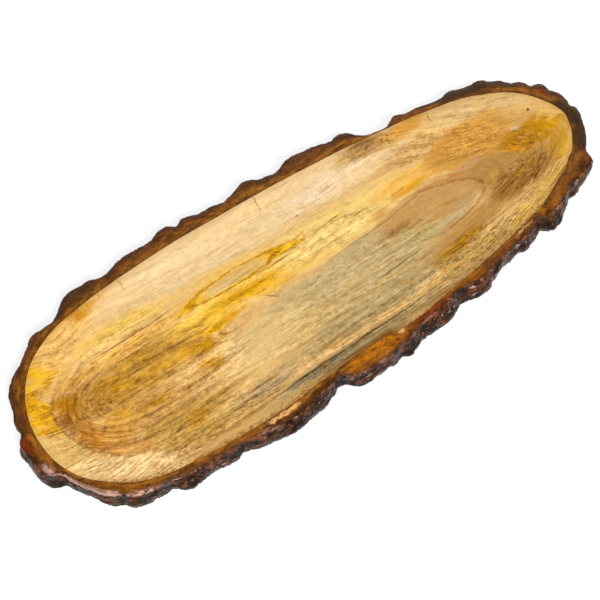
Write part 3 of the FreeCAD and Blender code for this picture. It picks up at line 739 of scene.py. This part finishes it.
# Colour fields of the cut bark, and then of the rough bark, listed as the dish's are.
BARK_FIELDS = [
    ("bark rust", -246, 26, 8, 26, 10, 0.7, 0.6),
    ("bark red", -254, 2, 7, 11, 0, 1, 0.5),
    ("bark amber", -245, -9, 5, 8, 10, 0.95, 0.6),
    # a painted highlight on the knob at the broad end's near corner
    ("painted highlight rose", -250, -21, 5, 8, 20, 0.55, 0.8),
    ("bark dark", -249, -31, 7, 4, -30, 0.9, 0.6),
    ("bark amber", -235, 49, 3, 8, -40, 0.5, 0.8),
    ("bark rust", -214, 66, 20, 6, 30, 0.7, 0.7),
    ("bark dark", -162, 84, 24, 6, 4, 0.7, 0.6),
    ("bark rust", -110, 87, 34, 6, 0, 0.7, 0.7),
    ("bark amber", -95, 83, 26, 3, 0, 0.5, 0.8),
    ("bark amber", -26, 87, 9, 5, 0, 0.8, 0.7),
    ("bark rust", 50, 84, 36, 6, -4, 0.6, 0.7),
    ("bark amber", 100, 72, 22, 3, -10, 0.7, 0.7),
    ("bark rust", 135, 71, 20, 5, -10, 0.8, 0.6),
    ("bark dark", 190, 63, 40, 8, -16, 1, 0.5),
    ("bark dark", 226, 47, 16, 8, -45, 0.9, 0.6),
    ("bark amber", 226, 40, 18, 3, -48, 0.4, 0.8),
    ("bark red", 245, 21, 4, 11, 14, 0.8, 0.7),
    ("bark dark", 247, -8, 8, 22, 0, 1, 0.4),
    ("bark dark", 237, -30, 11, 16, -35, 0.9, 0.5),
    ("bark rust", 208, -48, 26, 8, 28, 0.6, 0.7),
    ("bark rust", 226, -47, 9, 8, 30, 0.7, 0.7),
    ("bark amber", 185, -61, 20, 6, 24, 0.8, 0.6),
    ("bark orange", 164, -66, 6, 3.5, 20, 0.9, 0.7),
    ("bark orange", 121, -74, 4, 3, 0, 0.7, 0.8),
    ("bark rust", 110, -75, 50, 6, 8, 0.6, 0.7),
    ("bark amber", 80, -77, 22, 4, 0, 0.6, 0.7),
    ("bark red", 35, -81, 30, 5, 2, 0.7, 0.6),
    ("bark orange", -15, -83, 32, 7.5, 0, 1, 0.35),
    ("bark amber", -15, -89, 30, 5, 0, 0.7, 0.6),
    ("bark pale", 10, -80.5, 2.4, 4, 30, 0.9, 0.6),
    ("bark pale", -97, -82.6, 17, 2.6, 0, 0.85, 0.5),
    ("bark pale", 141, -69, 12, 1.8, 12, 0.55, 0.7),
    ("bark pale", 204, -46, 11, 1.6, 27, 0.55, 0.7),
    ("bark amber", -90, -80.5, 28, 1.6, 0, 0.8, 0.7),
    ("bark dark", -70, -88, 40, 4, 3, 0.7, 0.6),
    ("bark amber", -125, -82, 18, 4, 0, 0.7, 0.7),
    ("bark rust", -165, -82, 34, 5, -6, 0.7, 0.7),
    ("bark dark", -190, -77, 26, 5, -8, 0.6, 0.8),
    ("bark amber", -219, -58, 34, 5, -42, 0.5, 0.7),
]
ROUGH_FIELDS = [
    ("bark red", -256, 2, 8, 10, 0, 0.8, 0.6),
    ("bark amber", -247, -9, 6, 7, 10, 0.8, 0.7),
    ("bark dark", -251, -29, 9, 7, -30, 0.9, 0.6),
    ("bark rust", -120, -88, 40, 6, -2, 0.3, 0.8),
    ("bark dark", -165, -91, 36, 7, -6, 0.95, 0.6),
    ("bark dark", -205, -80, 26, 6, -20, 0.8, 0.6),
    ("bark orange", -15, -85, 28, 4, 0, 0.7, 0.5),
    ("bark purple", -15, -93, 36, 7, 0, 0.9, 0.6),
    ("bark amber", 215, -53, 24, 8, 30, 0.6, 0.7),
    ("bark amber", 164, -70, 12, 4, 20, 0.6, 0.7),
    ("bark dark", 158, -78, 20, 7, 14, 0.9, 0.5),
    ("bark dark", 218, -60, 20, 5, 30, 0.8, 0.6),
]

# What each plain word adds to a material: the kind of node, its settings, the sockets that the
# given values go to in turn, and the output that is used. A step is a smooth one between two
# limits, and something is laid over or tints by the amount that comes first.
SUMS = {
    "plus": "ADD", "minus": "SUBTRACT", "times": "MULTIPLY", "larger": "MAXIMUM", "smaller": "MINIMUM",
    "unsigned": "ABSOLUTE", "fraction": "FRACT",
}
LIMITS = ("Value", "From Min", "From Max", "To Min", "To Max")
NOISE = ("Vector", "Scale", "Detail", "Roughness", "Distortion")
SURFACE = ("Base Color", "Normal", "Roughness", "IOR", "Specular IOR Level", "Specular Tint")
NODES = {
    **{word: ("Math", {"operation": name}, (0, 1), 0) for word, name in SUMS.items()},
    **{axis: ("SeparateXYZ", {}, (0,), axis.upper()) for axis in "xyz"},
    "step": ("MapRange", {"interpolation_type": "SMOOTHSTEP"}, LIMITS, 0),
    "ramp": ("MapRange", {}, LIMITS, 0),
    "lay over": ("Mix", {"data_type": "RGBA"}, (0, 6, 7), 2),
    "tint": ("Mix", {"data_type": "RGBA", "blend_type": "MULTIPLY"}, (0, 6, 7), 2),
    "place of": ("CombineXYZ", {}, (0, 1, 2), 0),
    "moved by": ("VectorMath", {"operation": "ADD"}, (0, 1), 0),
    "away from": ("VectorMath", {"operation": "SUBTRACT"}, (0, 1), 0),
    "stretched": ("VectorMath", {"operation": "MULTIPLY"}, (0, 1), 0),
    "enlarged": ("VectorMath", {"operation": "SCALE"}, (0, "Scale"), 0),
    "length": ("VectorMath", {"operation": "LENGTH"}, (0,), "Value"),
    "in cells": ("Mapping", {"vector_type": "POINT"}, ("Vector", "Scale"), 0),
    "in oval": ("Mapping", {"vector_type": "TEXTURE"}, ("Vector", "Location", "Rotation", "Scale"), 0),
    "inwards": ("TexGradient", {"gradient_type": "SPHERICAL"}, ("Vector",), 1),
    "noise": ("TexNoise", {}, NOISE, 0),
    "three noises": ("TexNoise", {}, NOISE, 1),
    "object place": ("TexCoord", {}, (), "Object"),
    "kept number": ("Attribute", {}, (), "Fac"),
    "kept place": ("Attribute", {}, (), "Vector"),
    "camera ray": ("LightPath", {}, (), "Is Camera Ray"),
    "glossy ray": ("LightPath", {}, (), "Is Glossy Ray"),
    "glass ray": ("LightPath", {}, (), "Is Transmission Ray"),
    "bump": ("Bump", {}, ("Height", "Distance", "Strength"), 0),
    "surface": ("BsdfPrincipled", {}, SURFACE, 0),
    "dull paint": ("BsdfDiffuse", {}, ("Color",), 0),
    "glow": ("Emission", {}, ("Color", "Strength"), 0),
    "both": ("AddShader", {}, (0, 1), 0),
    "sky": ("Background", {}, ("Color", "Strength"), 0),
    "material": ("OutputMaterial", {}, ("Surface",), None),
    "world": ("OutputWorld", {}, ("Surface",), None),
}


def linear(code):
    """An sRGB hex colour as linear light: each channel over 12.92 near black, else its power curve."""
    parts = [int(code[i:i + 2], 16) / 255 for i in (1, 3, 5)]
    return tuple(c / 12.92 if c <= 0.04045 else ((c + 0.055) / 1.055) ** 2.4 for c in parts) + (1.0,)


def add_node(tree, word, *values, **settings):
    """Adds one node by its plain word, sets it up, fills its sockets with values or links, and
    gives its output. A colour is a name of the palette or an sRGB hex code."""
    kind, own, sockets, out = NODES[word]
    made = tree.nodes.new("ShaderNode" + kind)
    for name, value in {**own, **settings}.items():
        setattr(made, name, value)
    for key, value in zip(sockets, values):
        if isinstance(value, bpy.types.NodeSocket):
            tree.links.new(value, made.inputs[key])
        elif isinstance(value, str):
            made.inputs[key].default_value = linear(PALETTE.get(value, value))
        elif value is not None:
            made.inputs[key].default_value = value
    return None if out is None else made.outputs[out]


def empty_nodes(owner):
    """Empties the nodes of a material or a world, and gives the function that adds to them."""
    owner.use_nodes = True
    owner.node_tree.nodes.clear()
    return functools.partial(add_node, owner.node_tree)


def new_material(name):
    """A material without nodes, and the function that adds to it."""
    made = bpy.data.materials.new(name)
    return made, empty_nodes(made)


def finish_material(add, colour, normal=None, roughness=0.5, ior=1.5, specular=0.5, tint="#FFFFFF"):
    """Ends a material in one Principled shader."""
    add("material", add("surface", colour, normal, roughness, ior, specular, tint))


def cloud(add, place, size, detail, roughness, distortion=0.0):
    """Fractal noise of places in mm: size is how long its largest cells are along x, y and z."""
    cells = add("in cells", place, tuple(1 / length for length in size))
    return add("noise", cells, 1.0, detail, roughness, distortion)


def unrest(add, place, size, detail):
    """Three noises about zero, for pushing places: size is that of their largest cells, in mm."""
    cells = add("in cells", place, tuple(1 / length for length in size))
    return add("away from", add("three noises", cells, 1.0, detail, 0.6), (0.5, 0.5, 0.5))


def pushed(add, place, push, amounts):
    """Places moved by three noises, each times its own amount in mm."""
    return add("moved by", place, add("stretched", push, amounts))


def shaken(add, value, noise, amount):
    """A value moved up or down by how far a noise is above its middle, times an amount."""
    return add("plus", value, add("times", add("minus", noise, 0.5), amount))


def field(add, place, x, y, long, wide, tilt, most, soft):
    """A soft-edged ellipse from 0 to most: places are moved, turned and stretched so that its
    rim is one from the middle, and the value rises smoothly from the rim inwards."""
    oval = add("in oval", place, (x, y, 0.0), (0, 0, math.radians(tilt)), (long, wide, 1000.0))
    return add("step", add("inwards", oval), 0.0, soft, 0.0, most)


def ring(add, place, x, y, long, wide, tilt, width, most, end):
    """A bent line, the rim of an ellipse: places are moved, turned and stretched so that the
    rim is one from the middle, and the value falls smoothly from there to both sides. It may
    keep only the end that points along +x, or along -x."""
    oval = add("in oval", place, (x, y, 0.0), (0, 0, math.radians(tilt)), (long, wide, 1000.0))
    off = add("unsigned", add("minus", add("length", oval), 1.0))
    line = add("step", off, width, 0.0, 0.0, most)
    if end:
        line = add("times", line, add("step", add("x", oval), 0.1 * end, 0.6 * end))
    return line


def zones(add, place, rows, least):
    """The strongest of several soft ellipses at a place, and never less than a given value."""
    total = least
    for row in rows:
        total = add("larger", total, field(add, place, *row))
    return total


def painted(add, colour, place, rows, form=field, within=None):
    """A colour with a table's fields or rings of colour laid over it, one after another, and
    where a second amount is given, only as far as that goes."""
    for name, *row in rows:
        amount = form(add, place, *row)
        if within is not None:
            amount = add("times", amount, within)
        colour = add("lay over", amount, colour, name)
    return colour


def shaded(add, colour, tone, low, dark, high, bright):
    """A colour tinted dark where the tone is as low as one limit, bright where it is as high as
    the other, not at all at zero, and in between by its share of the way."""
    colour = add("tint", add("ramp", tone, 0.0, low), colour, dark)
    return add("tint", add("ramp", tone, 0.0, high), colour, bright)


def millimetres(add):
    """Places on the platter, in mm."""
    return add("enlarged", add("object place"), 1000.0)


def past(add, value, limit, slope):
    """How far a value lies past a limit, times a slope, and none before it. A slope below zero
    counts the other way."""
    off = add("minus", value, limit) if slope > 0 else add("minus", limit, value)
    return add("times", add("larger", off, 0.0), abs(slope))


def growth(add, place):
    """Places as the growth rings see them: along the grain, across the rings, and sideways. The
    rings are shells round the trunk's axis, so the way across them is the root of two squares:
    the way sideways from that axis, and the height above the dish's floor. At both ends the
    shells dip, which adds to the height, and the grain closes up. This gives the nested arcs
    where the ends of the dish cut through the rings."""
    x, y, z = (add(axis, place) for axis in "xyz")
    closing = add("plus", past(add, x, -170.0, -0.0042), past(add, x, 110.0, 0.0062))
    side = add("plus", add("times", x, 0.035), add("plus", y, 3.0))
    side = add("times", side, add("plus", closing, 1.0))
    broad = add("smaller", past(add, x, -188.0, -0.9), 26.0)
    dip = add("plus", broad, past(add, x, 135.0, 0.45))
    up = add("plus", past(add, z, FLOOR, 0.9), add("plus", dip, 7.0))
    across = add("length", add("place of", side, up))
    return add("place of", x, across, side)


def straightened(add, place, grain, wall):
    """The grain, but running straight on over the broad end's wall."""
    x, y = (add(axis, place) for axis in "xy")
    level = add("place of", x, add("unsigned", y), y)
    return add("lay over", add("times", wall, add("step", x, -160.0, -215.0)), grain, level)


def grain_marks(add, colour, place, grain, fibrous, mottle):
    """The colour with its blotches, growth lines, fibres and pores, and the height they give."""
    force = zones(add, place, on_dish(GRAIN_ZONES), 0.32)

    # blotches of yellower and of pinker wood, 5 to 15 mm long
    blotch = cloud(add, place, (17, 6.5, 12), 2.0, 0.7)
    yellow = add("times", add("step", blotch, 0.52, 0.70, 0.0, 0.38), force)
    colour = add("lay over", yellow, colour, "#CE9410")
    pinker = add("times", add("step", blotch, 0.48, 0.32, 0.0, 0.25), force)
    colour = add("lay over", pinker, colour, "#D6A468")

    # growth lines: every few mm across, bent slowly, dark on one side, and fading in and out
    bend = cloud(add, grain, (70, 18, 40), 2.0, 0.5, 0.3)
    across = add("y", pushed(add, grain, fibrous, (6.0, 1.2, 0.0)))
    count = add("plus", add("times", across, 1 / 3.6), add("times", bend, 5.0))
    line = add("step", add("fraction", count), 0.55, 1.0)
    fade = add("step", cloud(add, grain, (34, 4, 30), 2.0, 0.7), 0.44, 0.60, 0.0, 0.7)
    line = add("times", add("times", line, fade), force)
    colour = add("tint", line, colour, "#A88048")

    # long fibre bundles 4 mm down to 0.5 mm wide, and a mottle about as long as it is wide, which
    # sanding across the fibres leaves; both are drawn a little coarser than in the real wood
    fibre = cloud(add, grain, (60, 4.4, 40), 3.5, 0.85)
    tone = add("plus", add("times", fibre, 0.5), add("times", mottle, 0.5))
    tone = add("times", add("minus", tone, 0.5), force)
    colour = shaded(add, colour, tone, -0.155, "#8A6630", 0.175, (1.9, 2.0, 2.5, 1.0))

    # pores: dark dashes 3 to 8 mm long
    pore = cloud(add, pushed(add, grain, fibrous, (3.0, 1.0, 0.0)), (7, 1.3, 12), 1.0, 0.6)
    pores = add("times", add("step", pore, 0.60, 0.74), force)
    colour = add("tint", add("times", pores, 0.5), colour, "#80561F")
    return colour, add("minus", tone, add("times", pores, 0.4))


def dish_wood():
    """Oiled pale hardwood, sanded after carving. The eye sees warm fields of cream, honey and
    ochre drawn out along the grain, wavy growth lines, short dark pores, and a low silky shine."""
    made, add = new_material("oiled_hardwood_dish")
    place = millimetres(add)
    share, crease, foot = (add("kept number", attribute_name=n) for n in ("share", "crease", "foot"))
    wall = add("step", share, -0.89, -0.83)
    grain = straightened(add, place, growth(add, place), wall)

    # places are pushed about by noise, so that fields and lines get ragged edges
    fibrous = unrest(add, grain, (14, 2.4, 30), 4.0)
    cloudy = unrest(add, place, (34, 13, 20), 3.0)
    ragged = pushed(add, pushed(add, place, fibrous, (24.0, 5.0, 0.0)), cloudy, (36.0, 13.0, 0.0))
    wavy = pushed(add, pushed(add, place, fibrous, (6.0, 1.8, 0.0)), cloudy, (4.0, 5.0, 0.0))
    mottle = cloud(add, place, (6, 4.2, 5), 3.2, 0.95)
    broken = add("step", mottle, 0.62, 0.42, 0.3, 1.0)
    colour = painted(add, "#E2B670", ragged, on_dish(WOOD_FIELDS))
    colour = painted(add, colour, ragged, on_dish(WALL_FIELDS), within=wall)
    colour = painted(add, colour, wavy, on_dish(WOOD_LINES))
    colour = painted(add, colour, wavy, on_dish(WOOD_RINGS), ring, broken)
    grain = pushed(add, grain, cloudy, (0.0, 7.0, 0.0))
    colour, height = grain_marks(add, colour, place, grain, fibrous, mottle)

    # the floor is tinted darker next to the broad end's wall, and the crease where they meet gets a
    # darker line of painted shade
    colour = add("tint", add("times", foot, 0.5), colour, "#D3AC66")
    colour = add("tint", add("times", add("times", crease, broken), 0.8), colour, "#A06C20")

    # the wood next to the near side's bark is stained brown, in flecks
    fleck = add("step", shaken(add, share, mottle, 0.9), -0.17, 0.02)
    near = add("step", add("y", place), -30.0, -62.0, 0.3, 0.9)
    colour = add("lay over", add("times", fleck, near), colour, "#93601E")
    bump = add("bump", height, 0.0004, 0.5)
    finish_material(add, colour, bump, roughness=0.5, ior=1.4, specular=0.12)
    return made


def painted_brow_highlight(add, place, share, speck, low, high):
    """How far a place on the brow gets a painted highlight: between two shares of the way out, broken up
    by a noise, within the listed zones."""
    edge = add("step", shaken(add, share, speck, 0.5), low, high)
    strong = zones(add, place, BROW_HIGHLIGHT_ZONES, 0.0)
    unbroken = add("step", add("plus", speck, add("times", strong, 0.25)), 0.60, 0.84)
    return add("times", add("times", edge, unbroken), strong)


def cut_bark():
    """Bark sawn level with the slab's top, then varnished. The eye sees a warm red-brown band,
    with streaks along it, a dark line of painted shade at both its edges and in its cracks, and a
    painted highlight along the brow where the varnish looks wet."""
    made, add = new_material("varnished_cut_bark")
    place, layers = millimetres(add), add("kept place", attribute_name="layers")
    share, crack = (add("kept number", attribute_name=name) for name in ("share", "crack"))
    ragged = pushed(add, place, unrest(add, place, (5, 5, 5), 4.0), (10.0, 7.0, 0.0))
    blotch = cloud(add, layers, (16, 16, 5), 4.0, 0.75)
    streak = cloud(add, layers, (13, 13, 2.6), 3.5, 0.85)
    speck = cloud(add, place, (4.5, 3.2, 4), 3.0, 0.9)
    patch = add("step", blotch, 0.40, 0.60)
    warm = add("lay over", patch, "#5C3408", "#8E5A1A")
    dark = add("lay over", patch, "#3C2008", "#6A3C12")
    edge = shaken(add, share, streak, 0.8)
    colour = add("lay over", add("step", edge, 0.38, 0.62), warm, dark)
    colour = painted(add, colour, ragged, BARK_FIELDS)
    tone = add("plus", add("times", streak, 0.6), add("times", speck, 0.4))
    tone = add("minus", tone, 0.5)
    colour = shaded(add, colour, tone, -0.16, "#7A5636", 0.17, (2.1, 1.9, 1.8, 1.0))

    # the dark lines at both edges are painted shade, in the dip by the wood and where the top falls
    # away at the brow; then the brow's painted highlight, and painted shade in the cracks
    colour = add("lay over", add("step", share, 0.12, 0.03, 0.0, 0.55), colour, "#4A2C0C")
    colour = add("lay over", add("step", edge, 0.78, 0.98, 0.0, 0.7), colour, "#1E1208")
    brow_highlight = painted_brow_highlight(add, place, share, speck, 0.60, 0.84)
    bright = add("lay over", add("step", streak, 0.40, 0.66), "#8E604A", "painted highlight rose")
    colour = add("lay over", brow_highlight, colour, bright)
    colour = add("lay over", add("times", crack, 0.7), colour, "#1A0E06")
    bump = add("bump", tone, 0.0014, 0.6)
    finish_material(add, colour, bump, roughness=0.28, specular=0.14, tint="#FFC8A0")
    return made


def rough_bark():
    """The tree's own bark under varnish, rough at every size. The eye sees red-brown plates, cracks
    made near-black by painted shade, a side that painted shade darkens towards the underside, and
    painted highlights: small pale glints on crests near the top, and a pale line along the brow."""
    made, add = new_material("varnished_rough_bark")
    place = millimetres(add)
    share, crack = (add("kept number", attribute_name=name) for name in ("share", "crack"))
    ragged = pushed(add, place, unrest(add, place, (5, 5, 5), 4.0), (10.0, 7.0, 6.0))
    blotch = cloud(add, place, (10, 10, 7), 4.0, 0.8)
    speck = cloud(add, place, (9, 9, 6), 2.6, 0.72)
    fleck = cloud(add, place, (8.5, 8.5, 4.5), 1.8, 0.75)
    colour = add("lay over", add("step", blotch, 0.42, 0.58), "#1E0F08", "#64391E")
    colour = add("lay over", add("step", blotch, 0.56, 0.66, 0.0, 0.7), colour, "#7C3E16")
    rim = shaken(add, share, blotch, -0.4)
    colour = add("lay over", add("step", rim, 1.16, 1.02, 0.0, 0.6), colour, "#62361A")
    colour = painted(add, colour, ragged, ROUGH_FIELDS)
    tone = add("minus", speck, 0.5)
    colour = shaded(add, colour, tone, -0.12, "#2C1E18", 0.13, (2.3, 2.3, 2.4, 1.0))
    # a painted highlight along the brow
    brow_highlight = painted_brow_highlight(add, place, share, speck, 1.09, 1.01)
    colour = add("lay over", brow_highlight, colour, "painted highlight rose")
    # painted shade: darker the deeper a place lies in a crack or pit
    colour = add("lay over", add("times", crack, 0.85), colour, "#0C0705")
    # painted shade: the side darkens towards the underside
    colour = add("lay over", add("step", share, 1.2, 1.75, 0.0, 0.6), colour, "#160E0A")

    # painted highlights: pale glints on crests away from the cracks, more near the top and in some
    # patches
    painted_glint = add("times", add("step", fleck, 0.56, 0.64), add("step", crack, 0.5, 0.1))
    painted_glint = add("times", painted_glint, add("step", share, 1.9, 1.15, 0.3, 1.0))
    painted_glint = add("times", painted_glint, add("step", blotch, 0.46, 0.56, 0.2, 1.0))
    colour = add("lay over", add("times", painted_glint, 0.95), colour, "#CDA998")
    bump = add("bump", speck, 0.002, 0.9)
    finish_material(add, colour, bump, roughness=0.2, specular=0.22, tint="#FFD2B8")
    return made


def sanded_underside():
    """The plain underside, sanded and left bare. The eye sees straight pale fibres and no shine."""
    made, add = new_material("sanded_underside")
    fibre = cloud(add, millimetres(add), (40, 2.5, 3), 4.0, 0.6)
    colour = add("lay over", add("step", fibre, 0.3, 0.7), "#B98B4E", "#D9B173")
    finish_material(add, colour, roughness=0.6)
    return made


def put_in_scene(made):
    """Links an object to the scene, at the origin unless it has been placed."""
    bpy.context.scene.collection.objects.link(made)
    return made


def make_platter():
    """The platter's mesh with its materials and the numbers that they read."""
    mean, kind, share, crease, foot_side = slab_rings()
    grid, crack, layers = weathered(mean, kind, share)
    mesh = grid_mesh("platter_carved", grid, kind)
    keep(mesh, "share", share, (-1.0, 2.3))
    keep(mesh, "crack", crack, (0.0, 0.0))
    keep(mesh, "crease", crease, (0.0, 0.0))
    keep(mesh, "foot", foot_side, (0.0, 0.0))
    keep(mesh, "layers", layers, np.zeros(6))
    for material in (dish_wood(), cut_bark(), rough_bark(), sanded_underside()):
        mesh.materials.append(material)
    return put_in_scene(bpy.data.objects.new("platter_carved", mesh))


def seen(add):
    """1 for what the camera, a reflection or glass shows, and 0 for the light that a place gets."""
    return add("larger", add("camera ray"), add("larger", add("glossy ray"), add("glass ray")))


def make_floor():
    """A plain pale floor. The camera sees it lit to white, with the platter's soft shadow on it;
    a metre away it glows white by itself, where the lamps no longer reach."""
    half = 4.0  # metres
    corners = [(-half, -half, 0), (half, -half, 0), (half, half, 0), (-half, half, 0)]
    mesh = bpy.data.meshes.new("floor")
    mesh.from_pydata(corners, [], [(0, 1, 2, 3)])
    made, add = new_material("pale_studio_floor")
    away = add("length", add("object place"))
    strength = add("times", seen(add), add("step", away, 0.4, 1.0, 0.74, 1.0))
    paint = add("dull paint", "#9C9C9C")
    add("material", add("both", paint, add("glow", "#FFFFFF", strength)))
    mesh.materials.append(made)
    return put_in_scene(bpy.data.objects.new("floor", mesh))


def make_light(name, place, aim, size, watts):
    """A square soft lamp that looks at a point."""
    lamp = bpy.data.lights.new(name, "AREA")
    lamp.shape = "SQUARE"
    lamp.size = size
    lamp.energy = watts
    made = put_in_scene(bpy.data.objects.new(name, lamp))
    made.location = place
    made.rotation_euler = (Vector(aim) - Vector(place)).to_track_quat("-Z", "Y").to_euler()


def make_world():
    """Even white light from all round, which the camera sees as white."""
    world = bpy.data.worlds.new("studio")
    add = empty_nodes(world)
    strength = add("ramp", seen(add), 0.0, 1.0, 0.45, 1.0)
    add("world", add("sky", "#FFFFFF", strength))
    bpy.context.scene.world = world


def make_camera():
    """The photograph's view: 60 degrees above the platter, from beyond its near side."""
    lens = bpy.data.cameras.new("camera")
    lens.lens = 68.04
    lens.sensor_width = 36
    made = put_in_scene(bpy.data.objects.new("camera", lens))
    place, aim = Vector([length / 1000 for length in EYE]), Vector((-0.0285, -0.0104, 0.012))
    made.location = place
    made.rotation_euler = (aim - place).to_track_quat("-Z", "Y").to_euler()
    bpy.context.scene.camera = made


platter = make_platter()
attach(platter, "root")
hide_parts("platter")
floor = make_floor()
make_world()
make_light("key", (-0.35, -1.05, 1.35), (0, 0, 0), 0.3, 22.0)
make_light("fill", (0.7, 0.9, 1.3), (0, 0, 0), 1.2, 4.0)
make_camera()
bpy.context.scene.view_settings.view_transform = "Standard"
